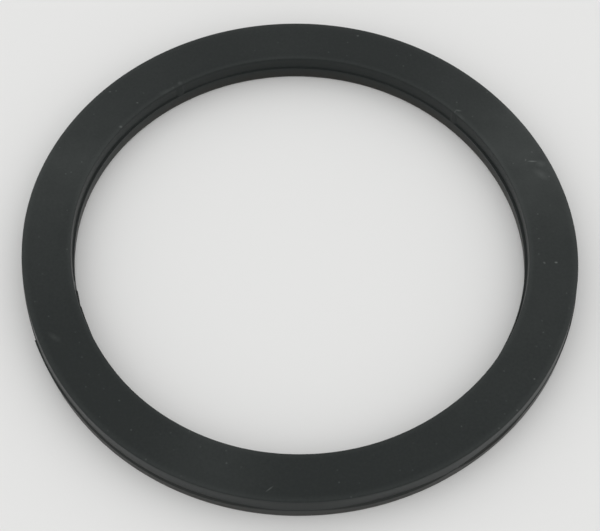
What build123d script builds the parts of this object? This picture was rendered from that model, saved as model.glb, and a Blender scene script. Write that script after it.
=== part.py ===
from build123d import *

import os
from math import cos, degrees, radians, sin

# Flat gasket for a 4-inch cam-and-groove hose coupling, moulded in one piece from black nitrile rubber.
#
# Frame: millimetres, +Z up along the ring's axis, origin at the centre of the face it rests on.
# The ring is one revolved section.  The two halves of the mould meet part-way up each wall and leave
# a narrow valley there.  Below the valley a wall stands upright.  Above it the wall starts a little
# further in, because the upper half of the mould is the smaller one, and leans back so that the ring
# slips out of the mould.  In the bore the valley stops short at two bridges of rubber.

# ---------------------------------------------------------------- driving dimensions, mm
bore_diameter = 101.2         # passage through the ring, at the upright wall
ring_width = 11.5             # from the bore's upright wall to the outer one
thickness = 7.0               # from sealing face to sealing face
edge_radius = 0.4             # round on the four corners of the section

bore_valley_height = 3.95     # middle of the valley in the bore, above the lower face
outer_valley_height = 3.2     # middle of the valley in the outer wall
valley_mouth = 0.9            # opening of either valley, measured up the wall
bore_valley_depth = 0.6       # how far the bore's valley runs into the rubber
outer_valley_depth = 0.5      # how far the outer valley runs in

upper_setback = 0.25          # how far the foot of an upper wall stands back from the wall below
bore_lean = 0.4               # how far the bore's upper wall leans back by the top face
outer_lean = 0.35             # the same for the outer wall

bridge_length = 1.2           # length of each bridge, measured along the bore
bridge_angles = (46.2, 125)   # degrees counter-clockwise from +X

# ---------------------------------------------------------------- derived places
bore_radius = bore_diameter / 2
outer_radius = bore_radius + ring_width
bridge_arc = degrees(bridge_length / bore_radius)


def section_plane(angle):
    """Upright plane through the ring's axis at this angle, with local x outward and local y up."""
    outward = (cos(radians(angle)), sin(radians(angle)), 0)
    sideways = (sin(radians(angle)), -cos(radians(angle)), 0)
    return Plane(origin=(0, 0, 0), x_dir=outward, z_dir=sideways)


# ---------------------------------------------------------------- the ring
with BuildPart() as gasket_ring:
    with BuildSketch(section_plane(0)) as section:
        with BuildLine():
            # the outer wall from the lower face to the top face, then the bore's wall back down
            Polyline(
                (outer_radius, 0),
                (outer_radius, outer_valley_height - valley_mouth / 2),
                (outer_radius - outer_valley_depth, outer_valley_height),
                (outer_radius - upper_setback, outer_valley_height + valley_mouth / 2),
                (outer_radius - outer_lean, thickness),
                (bore_radius + bore_lean, thickness),
                (bore_radius + upper_setback, bore_valley_height + valley_mouth / 2),
                (bore_radius + bore_valley_depth, bore_valley_height),
                (bore_radius, bore_valley_height - valley_mouth / 2),
                (bore_radius, 0),
                close=True,
            )
        make_face()
        corners_by_height = section.vertices().group_by(Axis.Y)
        fillet(corners_by_height[0] + corners_by_height[-1], edge_radius)
    revolve(axis=Axis.Z)

    # Each bridge fills the bore's valley from lip to lip, centred on its angle.
    for angle in bridge_angles:
        with BuildSketch(section_plane(angle - bridge_arc / 2)) as bridge:
            with BuildLine():
                Polyline(
                    (bore_radius, bore_valley_height - valley_mouth / 2),
                    (bore_radius + bore_valley_depth, bore_valley_height - valley_mouth / 2),
                    (bore_radius + bore_valley_depth, bore_valley_height + valley_mouth / 2),
                    (bore_radius + upper_setback, bore_valley_height + valley_mouth / 2),
                    close=True,
                )
            make_face()
        revolve(axis=Axis.Z, revolution_arc=bridge_arc)

gasket_ring.part.label = "gasket_ring"

# ---------------------------------------------------------------- output
os.makedirs("parts", exist_ok=True)
export_step(gasket_ring.part, "parts/gasket_ring.step")
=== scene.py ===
# %% [markdown]
# # A flat rubber gasket on a pale table
#
# The object is one moulded ring of black nitrile rubber, the flat gasket of a hose coupling.
# The CAD model holds its real size and its plain section.  This file adds what the eye expects of
# moulded rubber: soft edges, the seam that the mould leaves on both walls, flash, dust and scuffs.
# Sizes are worked out in millimetres and degrees, and turned to metres and radians at the last moment.

from math import cos, radians, sin

import bpy
import numpy as np
from mathutils import Matrix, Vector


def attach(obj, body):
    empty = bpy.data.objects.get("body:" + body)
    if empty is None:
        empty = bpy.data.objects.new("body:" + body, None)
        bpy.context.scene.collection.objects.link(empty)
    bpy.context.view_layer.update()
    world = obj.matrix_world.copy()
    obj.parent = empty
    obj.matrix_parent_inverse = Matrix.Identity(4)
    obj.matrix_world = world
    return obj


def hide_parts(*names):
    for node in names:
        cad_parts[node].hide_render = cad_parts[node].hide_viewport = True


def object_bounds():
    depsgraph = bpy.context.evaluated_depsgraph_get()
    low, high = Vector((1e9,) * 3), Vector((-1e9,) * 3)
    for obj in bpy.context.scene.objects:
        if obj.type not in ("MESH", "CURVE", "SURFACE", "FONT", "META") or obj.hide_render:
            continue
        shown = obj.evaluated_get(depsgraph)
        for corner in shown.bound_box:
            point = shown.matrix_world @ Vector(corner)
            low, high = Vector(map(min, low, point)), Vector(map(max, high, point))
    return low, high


MM = 0.001          # one millimetre in Blender's metres

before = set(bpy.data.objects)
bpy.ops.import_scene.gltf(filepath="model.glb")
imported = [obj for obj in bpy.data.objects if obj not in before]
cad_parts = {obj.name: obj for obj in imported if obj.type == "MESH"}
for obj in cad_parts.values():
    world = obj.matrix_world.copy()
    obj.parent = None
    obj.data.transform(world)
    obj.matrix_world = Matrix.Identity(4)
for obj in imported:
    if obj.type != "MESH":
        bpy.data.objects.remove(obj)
cad_low, cad_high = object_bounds()
print("CAD box in mm:", [round((high - low) / MM, 2) for low, high in zip(cad_low, cad_high)])

# %% [markdown]
# ## Sizes
#
# The outside and the height come from the CAD box, so the dressed ring can't outgrow the solid.
# The rest are the sizes of the moulded section, in millimetres.  The mould parts part-way up each
# wall.  Its upper half is a little smaller, so the lower wall ends in a narrow ledge there.

# %% Sizes of the section
room_for_bows = 0.16             # lets the outside bow outward without leaving the CAD box
outer_radius = cad_high.x / MM - room_for_bows
thickness = (cad_high.z - cad_low.z) / MM
ring_width = 11.465
bore_radius = outer_radius - ring_width
bore_ledge_height = 3.6          # top of the wider lower half, on the bore
outer_ledge_height = 2.9         # and on the outer wall
bore_ledge = 0.3                 # how far the upper wall sits back from it
outer_ledge = 0.2
bore_rise = 0.06                 # how much the ledge slopes up as it runs in
outer_rise = 0.15
bore_lean = (0.12, 0.42)         # how far the bore leans back by the lower and by the upper face
outer_lean = (0.03, 0.3)         # and the outer wall
bottom_round = (0.45, 0.3)       # round on the lower edges, bore and outside
top_round = (0.35, 0.4)          # and on the upper edges
ledge_round = 0.08               # at the lip and at the foot of the ledge
print("section in mm:", ring_width, "by", round(thickness, 2))

# %% Sizes of the flash and of a worn lip
fin_thickness = 0.12             # flash, where rubber crept between the halves of the mould
fin_root = 0.4                   # the wall starts to swell this far below the ledge
wear_root_drop = 0.3             # how much lower it starts where the lip has a wear of 1
wear_under = (0.12, 0.36)        # how far a wear of 1 draws the lip's lower corner back and down
wear_over = (0.45, 0.05)         # and its upper corner
wear_over_limit = 0.6            # but the upper corner never draws back further than this
print("flash", fin_thickness, "mm thick; a worn lip loses about",
      round(wear_over[0] - wear_under[0], 2), "by", round(wear_under[1] - wear_over[1], 2), "mm")

# %% [markdown]
# ## The section
#
# A profile with rounded corners could be drawn by hand, but then every change of a size means new
# points.  Here the section is a polygon with a radius at each corner, and one function rounds all
# the corners at once.  The polygon may differ from angle to angle round the ring, which is how the
# seam can stop, start and grow flash.

# %% Round the corners of many polygons at once
ARC_STEPS = 4
SIDE_STEPS = 3
LEAST_REACH = 0.02               # a corner's arc takes at least this much of its sides, in millimetres
MOST_REACH = 0.45                # and at most this share of the shorter one


def rounded(corners, radii):
    """Closed outlines with rounded corners, for an array of polygons of shape (rings, corners, 2).

    A corner's arc starts and ends at distance radius / tan(half the inside angle) from it, but at
    least LEAST_REACH and at most MOST_REACH times the shorter side.  The arc is the rational
    quadratic curve through those two points with the corner as its control point and the sine of
    half the inside angle as its weight, which is an exact circle.  The sides get points that crowd
    towards their ends, at half of 1 minus the cosine of evenly spaced angles.
    """
    to_last = np.roll(corners, 1, axis=1) - corners
    to_next = np.roll(corners, -1, axis=1) - corners
    last_length = np.linalg.norm(to_last, axis=2, keepdims=True)
    next_length = np.linalg.norm(to_next, axis=2, keepdims=True)
    to_last = to_last / last_length
    to_next = to_next / next_length
    half_angle = np.arccos(np.clip((to_last * to_next).sum(axis=2, keepdims=True), -1, 1)) / 2
    reach = np.maximum(radii[None, :, None] / np.tan(half_angle), LEAST_REACH)
    reach = np.minimum(reach, MOST_REACH * np.minimum(last_length, next_length))
    start = corners + to_last * reach
    end = corners + to_next * reach

    along = np.linspace(0, 1, ARC_STEPS + 1)[None, None, :, None]
    weight = np.sin(half_angle)[:, :, None]
    blend = (1 - along) ** 2 + 2 * weight * along * (1 - along) + along ** 2
    arcs = ((1 - along) ** 2 * start[:, :, None] + 2 * weight * along * (1 - along) * corners[:, :, None]
            + along ** 2 * end[:, :, None]) / blend

    share = (0.5 - 0.5 * np.cos(np.linspace(0, np.pi, SIDE_STEPS + 1)))[None, None, 1:-1, None]
    sides = end[:, :, None] * (1 - share) + np.roll(start, -1, axis=1)[:, :, None] * share
    points = np.concatenate([arcs, sides], axis=2)
    return points.reshape(len(corners), -1, 2)


print("each corner becomes", ARC_STEPS + 1, "points and each side gets", SIDE_STEPS - 1, "more")

# %% [markdown]
# ## What changes round the ring
#
# A moulded ring is nowhere quite the same: it is a little out of round, its flash starts at a
# nick and fades, and handling has worn the lip of the seam.  Noise could give such variety, but not
# at a chosen place.  So each change is a short list of rows, and two functions of the angle add the
# rows up: a bell for what swells gently, and a flat-topped bump for what starts and stops.

# %% Two ways to change something round the ring


def bells(angles, rows):
    """Sum of bell curves.  Each row is place and width in degrees, and height.

    A bell is height times exp of minus the square of (angle - place) / width.
    """
    places, widths, heights = np.array(rows, dtype=float).T[:, :, None]
    away = (np.degrees(angles)[None] - places + 180) % 360 - 180
    return (heights * np.exp(-(away / widths) ** 2)).sum(axis=0)


def windows(angles, rows):
    """Sum of flat-topped bumps.  Each row is start, stop, rise and fall in degrees, and height.

    A bump is height times 3 u^2 - 2 u^3 of the rise times the same of the fall, where u goes from
    0 to 1 through the rise, and from 1 to 0 through the fall, which ends at the stop.
    """
    start, stop, rise, fall, height = np.array(rows, dtype=float).T[:, :, None]
    into = (np.degrees(angles)[None] - start) % 360
    up = np.clip(into / rise, 0, 1)
    down = np.clip(((stop - start) % 360 - into) / fall, 0, 1)
    return (height * up * up * (3 - 2 * up) * down * down * (3 - 2 * down)).sum(axis=0)


print("a bell at one width from its place:", bells(np.radians([30.0]), [(20, 10, 1)]).round(3))

# %% Flash: start, stop, rise, fall, and how far it stands out in millimetres
bore_fins = [
    (193.9, 198.0, 0.4, 1.2, 0.14), (198.7, 210, 0.3, 6, 0.14), (322, 2, 16, 12, 0.18),
    (352, 18, 8, 18, 0.17), (2, 48, 12, 22, 0.12), (138, 186, 14, 4, 0.1),
]
outer_fins = [
    (203.2, 234, 0.4, 20, 0.3), (205, 214, 2, 4, -0.03), (158, 195, 12, 8, 0.07), (334, 24, 6, 14, 0.08),
]
print("rows of flash:", len(bore_fins), "in the bore and", len(outer_fins), "outside")

# %% Uneven ledge and upper wall: place, width, and change in millimetres
bore_ledge_changes = [(60, 14, -0.04), (116, 7, -0.07)]      # adds to the width of the bore's ledge
outer_top_reach = [(216, 26, 0.22), (314, 20, 0.17)]         # moves the outer wall's top outward
# moves the foot of the outer wall's upper half outward
outer_foot_reach = [
    (210, 9, 0.2), (226, 9, -0.07), (311, 12, 0.04), (312, 6, -0.08), (302, 5, 0.08), (214, 4, 0.03),
    (334, 10, 0.08), (289, 8, -0.14), (257, 12, -0.08),
]
print("bells on the foot of the outer wall's upper half:", len(outer_foot_reach))

# %% Worn, filled and narrowed stretches of the ledge: start, stop, rise, fall, and amount
# wear of the outer lip, where 1 takes off the sizes given above
outer_worn_lip = [
    (217, 272, 7, 25, 1.0), (214, 238, 6, 12, 0.5), (274, 304, 14, 6, 0.8), (303, 324, 6, 9, 2.2),
]
# share of the bore's ledge that is filled with rubber, so that the seam's line breaks off there
bore_bridges = [
    (44.9, 47.6, 1.0, 1.0, 0.85), (123.6, 126.4, 1.0, 1.0, 0.85), (191.3, 194.2, 0.8, 0.5, 0.55),
]
narrow_ledge = [(260, 284, 9, 9, 0.75)]                      # share taken off the outer ledge
print("stretches of worn lip:", len(outer_worn_lip), "and bridges in the bore:", len(bore_bridges))

# %% Out of round: place, width, and how far outward in millimetres
bore_bows = [(325, 25, -0.08), (100, 32, 0.08), (197, 8, 0.08), (216, 10, -0.04)]
outer_bows = [(100, 28, -0.08), (2, 14, 0.1), (172, 14, 0.1), (222, 12, -0.06), (318, 16, -0.07)]
# moves both walls together
ring_bows = [
    (198, 25, -0.55), (351.5, 28, 0.25), (256, 18, 0.15), (307, 15, -0.09), (40, 22, -0.18),
    (212, 14, -0.12),
]
ring_middle = (-0.25, 0.03)      # x and y of the point that the radii are measured from
print("largest bow in mm:", max(abs(height) for place, width, height in ring_bows))

# %% The angles of the sections, closer together where something starts or stops sharply
EVEN_SECTIONS = 720
SHARP = 1                        # a rise or fall that takes this many degrees or less is sharp
FINE_REACH = 0.45                # extra sections reach this many degrees to each side of it
FINE_SECTIONS = 13


def sharp_places(rows):
    """Middle of every sharp rise, start plus half the rise, and fall, stop minus half the fall."""
    start, stop, rise, fall, height = np.array(rows, dtype=float).T
    return np.concatenate([(start + rise / 2)[rise <= SHARP], (stop - fall / 2)[fall <= SHARP]])


sharp = np.concatenate([sharp_places(rows) for rows in (bore_fins, outer_fins, bore_bridges)])
even = np.linspace(0, 360, EVEN_SECTIONS, endpoint=False)
fine = (sharp[:, None] + np.linspace(-FINE_REACH, FINE_REACH, FINE_SECTIONS)).ravel()
angles = np.radians(np.unique(np.concatenate([even, fine]).round(3)))
print("sections round the ring:", len(angles))

# %% [markdown]
# ## The gasket's own section
#
# Now the sizes and the rows come together.  The section has twelve corners: four edges of the ring,
# and four at the seam of each wall, which are where the wall starts to swell, the lip's two corners,
# and the foot of the upper wall.  Flash is simply a lip that stands out, and a worn lip is one whose
# two corners have drawn apart, so the mesh needs no cut or join where they start.

# %% The polygon, angle by angle


def section_corners(angles):
    """The section's corners as (radius, height), anticlockwise from the bottom of the bore.

    Every radius is its wall's own radius plus or minus the named sizes above, each times what its
    rows give at that angle.
    """
    outer_step = outer_ledge * (1 - windows(angles, narrow_ledge))
    bore_fin = windows(angles, bore_fins)
    outer_fin = windows(angles, outer_fins)
    bore = bore_radius + bells(angles, bore_bows)
    outer = outer_radius + bells(angles, outer_bows)
    bore_step = (bore_ledge + bells(angles, bore_ledge_changes)) * (1 - windows(angles, bore_bridges))
    outer_foot = bells(angles, outer_foot_reach)
    outer_top = bells(angles, outer_top_reach)
    worn = windows(angles, outer_worn_lip)
    bore_under = bore_ledge_height - fin_thickness
    outer_under = outer_ledge_height - fin_thickness
    corners = [
        (bore + bore_lean[0], 0),
        (outer - outer_lean[0], 0),
        (outer, outer_ledge_height - fin_root - wear_root_drop * worn),
        (outer + outer_fin - wear_under[0] * worn, outer_under - wear_under[1] * worn),
        (outer + outer_fin - np.minimum(wear_over[0] * worn, wear_over_limit),
         outer_ledge_height - wear_over[1] * worn),
        (outer - outer_step + outer_foot, outer_ledge_height + outer_rise),
        (outer - outer_lean[1] + outer_top, thickness),
        (bore + bore_lean[1], thickness),
        (bore + bore_step, bore_ledge_height + bore_rise),
        (bore - bore_fin, bore_ledge_height),
        (bore - bore_fin, bore_under),
        (bore, bore_ledge_height - fin_root),
    ]
    flat = np.zeros_like(angles)
    return np.stack([np.stack([across + flat, up + flat], axis=-1) for across, up in corners], axis=1)


# in the order of the corners: the lower edges, the outer seam, the upper edges, the bore's seam
corner_radii = np.array([
    *bottom_round,
    fin_root, ledge_round, ledge_round, ledge_round,
    *reversed(top_round),
    ledge_round, ledge_round, ledge_round, fin_root,
])
outlines = rounded(section_corners(angles), corner_radii)
print("outline points per section:", outlines.shape[1])

# %% [markdown]
# ## The ring
#
# Every section stands at its own angle, and neighbouring sections are joined by a sheet of quads
# that closes on itself both ways, like the surface of a doughnut.  Blender's Spin tool would turn
# one section into a ring too, but then every section would be the same.

# %% Join a grid of points into a closed mesh


def closed_grid_mesh(name, points):
    """A mesh from points of shape (rings, points per ring, 3), joined to a closed torus of quads.

    Each quad runs from a point to the same point of the next ring, on to that point's neighbour,
    and back to the first point's neighbour.  The last ring is followed by the first.
    """
    rings, count = points.shape[:2]
    index = np.arange(rings * count).reshape(rings, count)
    onward = np.roll(index, -1, axis=0)
    quads = np.stack([index, onward, np.roll(onward, -1, axis=1), np.roll(index, -1, axis=1)], axis=-1)
    mesh = bpy.data.meshes.new(name)
    mesh.from_pydata(points.reshape(-1, 3).tolist(), [], quads.reshape(-1, 4).tolist())
    mesh.polygons.foreach_set("use_smooth", np.ones(len(mesh.polygons), dtype=bool))
    mesh.update()
    return mesh


# %% Stand the sections round the ring: x is radius times cosine, y is radius times sine
radius = (outlines[..., 0] + bells(angles, ring_bows)[:, None]) * MM
height = outlines[..., 1] * MM
ring_points = np.stack([
    radius * np.cos(angles)[:, None] + ring_middle[0] * MM,
    radius * np.sin(angles)[:, None] + ring_middle[1] * MM,
    height + cad_low.z,
], axis=-1)
ring = bpy.data.objects.new("moulded_ring", closed_grid_mesh("moulded_ring", ring_points))
bpy.context.scene.collection.objects.link(ring)
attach(ring, "root")
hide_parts("gasket_ring")
print("ring quads:", len(ring.data.polygons))

# %% [markdown]
# ## Helpers for materials
#
# A material in Blender is a graph of nodes.  Building one in code is the same three steps each time:
# add a node, set its options, and fill its sockets with numbers or with other nodes' outputs.  One
# small function does all three, so that each later line reads as one node of the graph.

# %% Colours, a new material, and a node with its links


def linear(code):
    """A colour written as sRGB hex, turned to the linear values that a shader works in.

    A channel s from 0 to 1 becomes s / 12.92 up to 0.04045, and above that (s + 0.055) / 1.055 to
    the power 2.4.
    """
    srgb = np.array([int(code[i:i + 2], 16) for i in (1, 3, 5)]) / 255
    return tuple(np.where(srgb <= 0.04045, srgb / 12.92, ((srgb + 0.055) / 1.055) ** 2.4)) + (1.0,)


def new_material(name):
    """An empty node material and its tree."""
    material = bpy.data.materials.new(name)
    material.use_nodes = True
    material.node_tree.nodes.clear()
    return material, material.node_tree


def node(tree, kind, sockets=None, **settings):
    """A new node with its properties set and its sockets filled, by name or number.

    A value that is another node's output is linked, and any other value is set.
    """
    made = tree.nodes.new(kind)
    for key, value in settings.items():
        setattr(made, key, value)
    for key, value in (sockets or {}).items():
        if isinstance(value, bpy.types.NodeSocket):
            tree.links.new(value, made.inputs[key])
        else:
            made.inputs[key].default_value = value
    return made


print("middle grey in linear light:", [round(float(channel), 3) for channel in linear("#808080")[:3]])

# %% [markdown]
# ## Where dust lies
#
# Dust could be painted on by hand, but a number at every vertex keeps its place as exact as the
# shape.  Two are stored for the shader.  "haze" says how much dust film lies at that angle, where 1
# is a full film.  "across" is the distance in millimetres from the middle of the ring's width,
# counted outward.

# %% Store haze and place across the ring: place, width, and amount of film
hazes = [
    (28, 18, 1.05), (54, 8, 0.15), (130, 14, 0.15), (0, 20, 0.25), (161, 20, 0.75), (96, 10, 0.15),
    (253, 11, 0.4), (330, 30, 0.25), (190, 10, 0.15),
]
middle_radius = (bore_radius + outer_radius) / 2
haze_values = np.broadcast_to(bells(angles, hazes)[:, None], outlines.shape[:2])
for name, values in [("haze", haze_values), ("across", outlines[..., 0] - middle_radius)]:
    stored = ring.data.attributes.new(name, 'FLOAT', 'POINT')
    stored.data.foreach_set("value", values.astype(np.float32).ravel())
print("haze from", haze_values.min().round(2), "to", haze_values.max().round(2))

# %% [markdown]
# ## Rubber
#
# Moulded nitrile rubber is filled with carbon black, so almost nothing comes back from inside it.
# What the eye reads as dark grey is the soft sheen of the surface.  A thin film of pale dust on the
# top face lifts that grey in patches, with a few specks and rubbed marks, and a painted highlight pales
# the two rims.  A picture of dust would show its grain from close by and repeat, so the dust is sums
# of noise, cells and soft spots, each at its real size.  They all end in one number, of dust and of
# painted rim highlight, and that number mixes the colour of the rubber with the colour of dust.

# %% The rubber's nodes read the place on the object and the two stored numbers
rubber, tree = new_material("moulded_black_nitrile_rubber")
where = node(tree, "ShaderNodeTexCoord").outputs["Object"]
haze = node(tree, "ShaderNodeAttribute", attribute_name="haze").outputs["Fac"]
across = node(tree, "ShaderNodeAttribute", attribute_name="across").outputs["Fac"]
height_up = node(tree, "ShaderNodeSeparateXYZ", {0: where}).outputs["Z"]
print("material:", rubber.name)

# %% [markdown]
# ### A film of dust, and a painted highlight on the rims
#
# Fine dust settles on rubber in cloudy patches.  One even mix of two colours would look like paint.
# Noise a few millimetres wide varies the film instead, and the stored distance from the middle draws
# a painted highlight along the rims, where the top edges round over, so it follows the ring where it
# bows.

# %% Film of dust, in patches
NOISE_LOW = 0.3                  # nearly all of a noise texture lies between these two
NOISE_HIGH = 0.7
patch_width = 8.0                # millimetres
thin_film = 0.042                # share of the dust's colour where a patch is thin
thick_film = 0.07                # and where it is thick
patches = node(tree, "ShaderNodeTexNoise", {
    "Vector": where, "Scale": 1 / (patch_width * MM), "Detail": 3.0})
film_strength = node(tree, "ShaderNodeMapRange", {
    "Value": patches.outputs["Fac"], "From Min": NOISE_LOW, "From Max": NOISE_HIGH,
    "To Min": thin_film, "To Max": thick_film})
film = node(tree, "ShaderNodeMath", {0: haze, 1: film_strength.outputs["Result"]}, operation='MULTIPLY')
print("patches of film:", patch_width, "mm across")

# %% A painted highlight pales the rims of the top face, where its edges round over
dust_from = thickness - 0.3      # height at which the top face's dust begins
dust_full = thickness - 0.05     # and where it is whole
rim_from = 3.9                   # distance from the middle of the width at which a rim begins
rim_full = 5.2                   # and where it is palest
# the painted highlight on the rims, as a share of the pale dust colour
rim_highlight = 0.024                 # share of the dust's colour that it adds there
top_only = node(tree, "ShaderNodeMapRange", {
    "Value": height_up, "From Min": dust_from * MM, "From Max": dust_full * MM}).outputs["Result"]
off_middle = node(tree, "ShaderNodeMath", {0: across}, operation='ABSOLUTE')
# painted highlight: paler towards both rims of the top face, where the edges round over
rim = node(tree, "ShaderNodeMapRange", {
    "Value": off_middle.outputs[0], "From Min": rim_from, "From Max": rim_full, "To Max": rim_highlight},
    interpolation_type='SMOOTHSTEP')
painted_rim_highlight = node(tree, "ShaderNodeMath", {0: rim.outputs["Result"], 1: top_only}, operation='MULTIPLY')
print("each rim takes the outer", round(ring_width / 2 - rim_from, 1), "mm of the width")

# %% [markdown]
# ### Grain, specks and rubbed marks
#
# From close by the dust is a fine grain with a pale crumb here and there, and a short pale mark stays
# where something has rubbed the rubber.  The grain is noise.  The crumbs sit in the cells of a
# Voronoi texture, and only some cells get one.  The marks have places of their own, so each is a soft
# ball of brightness, stretched and turned by a Mapping node, that the top face cuts to a soft oval.

# %% Grain of the dust, and scattered specks a few tenths of a millimetre across
grain_width = 0.625              # millimetres
least_grain = -0.005             # share of the dust's colour that the grain adds at least
most_grain = 0.007               # and at most
cells_per_mm = 0.3               # each cell holds one place for a speck
speck_core = 0.03                # a speck is whole this far from its place, as a share of the cell
speck_edge = 0.08                # and gone this far from it
speck_bare = 0.6                 # a cell whose random number is below this has no speck
speck_whole = 0.9                # and one above this has the strongest
speck_strength = 0.09
grain = node(tree, "ShaderNodeTexNoise", {
    "Vector": where, "Scale": 1 / (grain_width * MM), "Detail": 2.0})
grain_strength = node(tree, "ShaderNodeMapRange", {
    "Value": grain.outputs["Fac"], "From Min": NOISE_LOW, "From Max": NOISE_HIGH,
    "To Min": least_grain, "To Max": most_grain})
cells = node(tree, "ShaderNodeTexVoronoi", {
    "Vector": where, "Scale": cells_per_mm / MM}, voronoi_dimensions='2D')
dot = node(tree, "ShaderNodeMapRange", {
    "Value": cells.outputs["Distance"], "From Min": speck_core, "From Max": speck_edge,
    "To Min": 1.0, "To Max": 0.0})
chosen = node(tree, "ShaderNodeMapRange", {
    "Value": cells.outputs["Color"], "From Min": speck_bare, "From Max": speck_whole,
    "To Max": speck_strength})
specks = node(tree, "ShaderNodeMath", {
    0: dot.outputs["Result"], 1: chosen.outputs["Result"]}, operation='MULTIPLY')
print("specks up to", round(2 * speck_edge / cells_per_mm, 2), "mm across")

# %% Rubbed marks and larger specks: x, y, turn in degrees, length, width, strength
marks = [
    (52.4, 24, 2, 2.6, 0.5, 0.28), (50.9, 24.3, 80, 0.9, 0.5, 0.15), (54.3, 23.5, -20, 3, 2.2, 0.07),
    (54.3, 20.5, -40, 5, 2.4, 0.07), (35.7, 37.5, -8, 1.8, 0.6, 0.17), (34.9, 37.1, 60, 1.1, 0.5, 0.1),
    (36, 35.5, -50, 3.5, 2, 0.05), (-32.5, 40, 23, 5, 1.6, 0.04), (-31, 41.2, 0, 0.9, 0.8, 0.06),
    (-29.5, 42.6, 25, 1.5, 1.3, 0.07), (12, 58.3, 0, 0.8, 0.6, 0.2), (-45.6, 39.4, 0, 0.7, 0.5, 0.2),
    (-39, 36.5, 0, 0.7, 0.5, 0.2), (-42.3, 29.6, 0, 1, 0.8, 0.2), (56.7, -2.7, 0, 0.9, 0.6, 0.35),
    (54.1, -2.9, -50, 0.8, 0.6, 0.2), (50.8, -31.7, 0, 0.6, 0.5, 0.2), (46.9, -39.2, 0, 0.6, 0.5, 0.2),
    (-4.5, -59, 41, 2.4, 0.4, 0.17), (-52, -25.7, -34, 4.5, 1.6, 0.045),
]
mark_reach = 0.5                 # how far a mark reaches above and below the top face
marked = specks.outputs[0]
for x, y, turn, length, width, strength in marks:
    local = node(tree, "ShaderNodeMapping", {
        "Vector": where, "Location": (x * MM, y * MM, thickness * MM), "Rotation": (0, 0, radians(turn)),
        "Scale": (length / 2 * MM, width / 2 * MM, mark_reach * MM)}, vector_type='TEXTURE')
    spot = node(tree, "ShaderNodeTexGradient", {
        "Vector": local.outputs["Vector"]}, gradient_type='SPHERICAL')
    marked = node(tree, "ShaderNodeMath", {0: spot.outputs["Fac"], 1: strength, 2: marked},
                  operation='MULTIPLY_ADD').outputs[0]
print("marks:", len(marks))

# %% [markdown]
# ### Colour and sheen
#
# The amounts of dust and of the painted rim highlight add up to one number, which mixes pale grey
# into black.  A little brown dirt clings low on the walls.  The dust could have a roughness of its own,
# but a film this thin hardly dulls the rubber.  What tells the eye that this is rubber is the broad,
# weak sheen, the same all over.

# %% Add the dust and the painted rim highlight up: the film, the marks and the highlight lie on the top face, and the grain lies everywhere
film_and_marks = node(tree, "ShaderNodeMath", {0: marked, 1: film.outputs[0]}, operation='ADD')
on_top = node(tree, "ShaderNodeMath", {0: film_and_marks.outputs[0], 1: top_only, 2: painted_rim_highlight.outputs[0]},
              operation='MULTIPLY_ADD')
# the sum carries the painted rim highlight as well as the dust
dust = node(tree, "ShaderNodeMath", {0: on_top.outputs[0], 1: grain_strength.outputs["Result"]},
            operation='ADD', use_clamp=True)
print("nodes so far:", len(tree.nodes))

# %% Colour: black rubber, pale grey dust and painted rim highlight over it, and a trace of brown dirt low on the walls
COLOUR_A = 6                     # a Mix node's sockets for colours go by number: its first colour
COLOUR_B = 7                     # its second
MIXED = 2                        # and the output that mixes them
dirt_from = 3.4                  # height at which the dirt begins, in millimetres
dirt_full = 1.0                  # and where there is most of it
dirt_share = 0.022               # of the brown in the colour there
dust_and_highlight_colour = node(tree, "ShaderNodeMix", {
    0: dust.outputs[0], COLOUR_A: linear("#0e1514"), COLOUR_B: linear("#969b98")}, data_type='RGBA')
dirt = node(tree, "ShaderNodeMapRange", {
    "Value": height_up, "From Min": dirt_from * MM, "From Max": dirt_full * MM,
    "To Min": 0.0, "To Max": dirt_share})
colour = node(tree, "ShaderNodeMix", {
    0: dirt.outputs["Result"], COLOUR_A: dust_and_highlight_colour.outputs[MIXED], COLOUR_B: linear("#8f6a44")},
    data_type='RGBA')
print("dirt below", dirt_from, "mm")

# %% Sheen: half-rough, as a steel mould leaves rubber, with a skin that the grain barely ruffles
ruffle = 0.01                    # height of the bumps in millimetres
skin = node(tree, "ShaderNodeBump", {
    "Height": grain.outputs["Fac"], "Strength": 0.3, "Distance": ruffle * MM})
shader = node(tree, "ShaderNodeBsdfPrincipled", {
    "Base Color": colour.outputs[MIXED], "Roughness": 0.4, "IOR": 1.5, "Specular IOR Level": 0.28,
    "Normal": skin.outputs["Normal"]})
node(tree, "ShaderNodeOutputMaterial", {"Surface": shader.outputs["BSDF"]})
ring.data.materials.append(rubber)
print("nodes in all:", len(tree.nodes))

# %% [markdown]
# ## The table
#
# A plain pale table shows the ring's outline and its soft shadow, and nothing else.  One square is
# enough, because the light comes from all round and no edge of the table is in view.  Its paint is
# fully matt, which gives the eye no gloss to follow, so the ring stays the only thing to look at.

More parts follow.
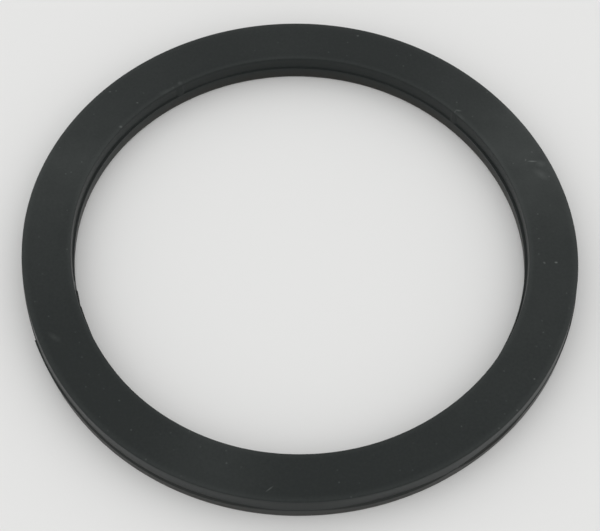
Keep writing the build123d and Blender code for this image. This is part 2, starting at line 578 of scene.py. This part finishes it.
# %% A square table top with matt paint
half_side = 5.0                  # metres, so wide that the camera doesn't see past it
table_drop = 0.02                # millimetres below the ring, so that the two faces don't coincide
table_paint, tree = new_material("matte_white_table")
shader = node(tree, "ShaderNodeBsdfDiffuse", {"Color": linear("#e6e6e5")})
node(tree, "ShaderNodeOutputMaterial", {"Surface": shader.outputs["BSDF"]})
table_corners = [(-half_side, -half_side, 0), (half_side, -half_side, 0),
                 (half_side, half_side, 0), (-half_side, half_side, 0)]
table_mesh = bpy.data.meshes.new("table_top")
table_mesh.from_pydata(table_corners, [], [(0, 1, 2, 3)])
table_mesh.materials.append(table_paint)
table = bpy.data.objects.new("table_top", table_mesh)
table.location.z = -table_drop * MM
bpy.context.scene.collection.objects.link(table)
print("table side in metres:", 2 * half_side)

# %% [markdown]
# ## The light
#
# A studio tent lights a black object from every side, so that no lamp draws a hard glint on it.
# Several large area lamps would do the same, but a plain white world is simpler and even.  At a
# strength of 1 each colour renders about as it is written, and the Standard view leaves it so.

# %% Soft light from all round
world = bpy.data.worlds.new("soft_room")
bpy.context.scene.world = world
world.use_nodes = True
world.node_tree.nodes["Background"].inputs["Color"].default_value = linear("#ffffff")
bpy.context.scene.view_settings.view_transform = 'Standard'
print("world:", world.name, "view:", bpy.context.scene.view_settings.view_transform)

# %% [markdown]
# ## The camera
#
# The camera looks down on the ring through a long lens, which keeps the near and the far side about
# the same width.  Blender can aim a camera with a constraint, but a matrix of its three axes and its
# place says exactly where it is.  The axes come from an angle down, and a small roll about the view.

# %% The camera's place and axes
elevation = radians(59.66)       # how far it looks down
roll = radians(2.006)
distance = 391.75 * MM           # from the point that it looks at
aim = np.array([0.126, -1.676, 0.0]) * MM
forward = np.array([0.0, cos(elevation), -sin(elevation)])
right = np.array([1.0, 0.0, 0.0])
up = np.cross(right, forward)
turned_right = cos(roll) * right + sin(roll) * up
turned_up = -sin(roll) * right + cos(roll) * up
place = aim - distance * forward
print("camera at, in mm:", [round(float(part), 1) for part in place / MM])

# %% The lens
lens = bpy.data.cameras.new("camera")
lens.sensor_width = 36.0         # millimetres, as the focal length is
lens.lens = 104.53
lens.clip_start = 0.01           # metres
camera = bpy.data.objects.new("camera", lens)
axes = np.eye(4)
axes[:3] = np.stack([turned_right, turned_up, -forward, place], axis=1)
camera.matrix_world = Matrix(axes.tolist())
bpy.context.scene.collection.objects.link(camera)
bpy.context.scene.camera = camera
print("focal length in mm:", round(lens.lens, 2))
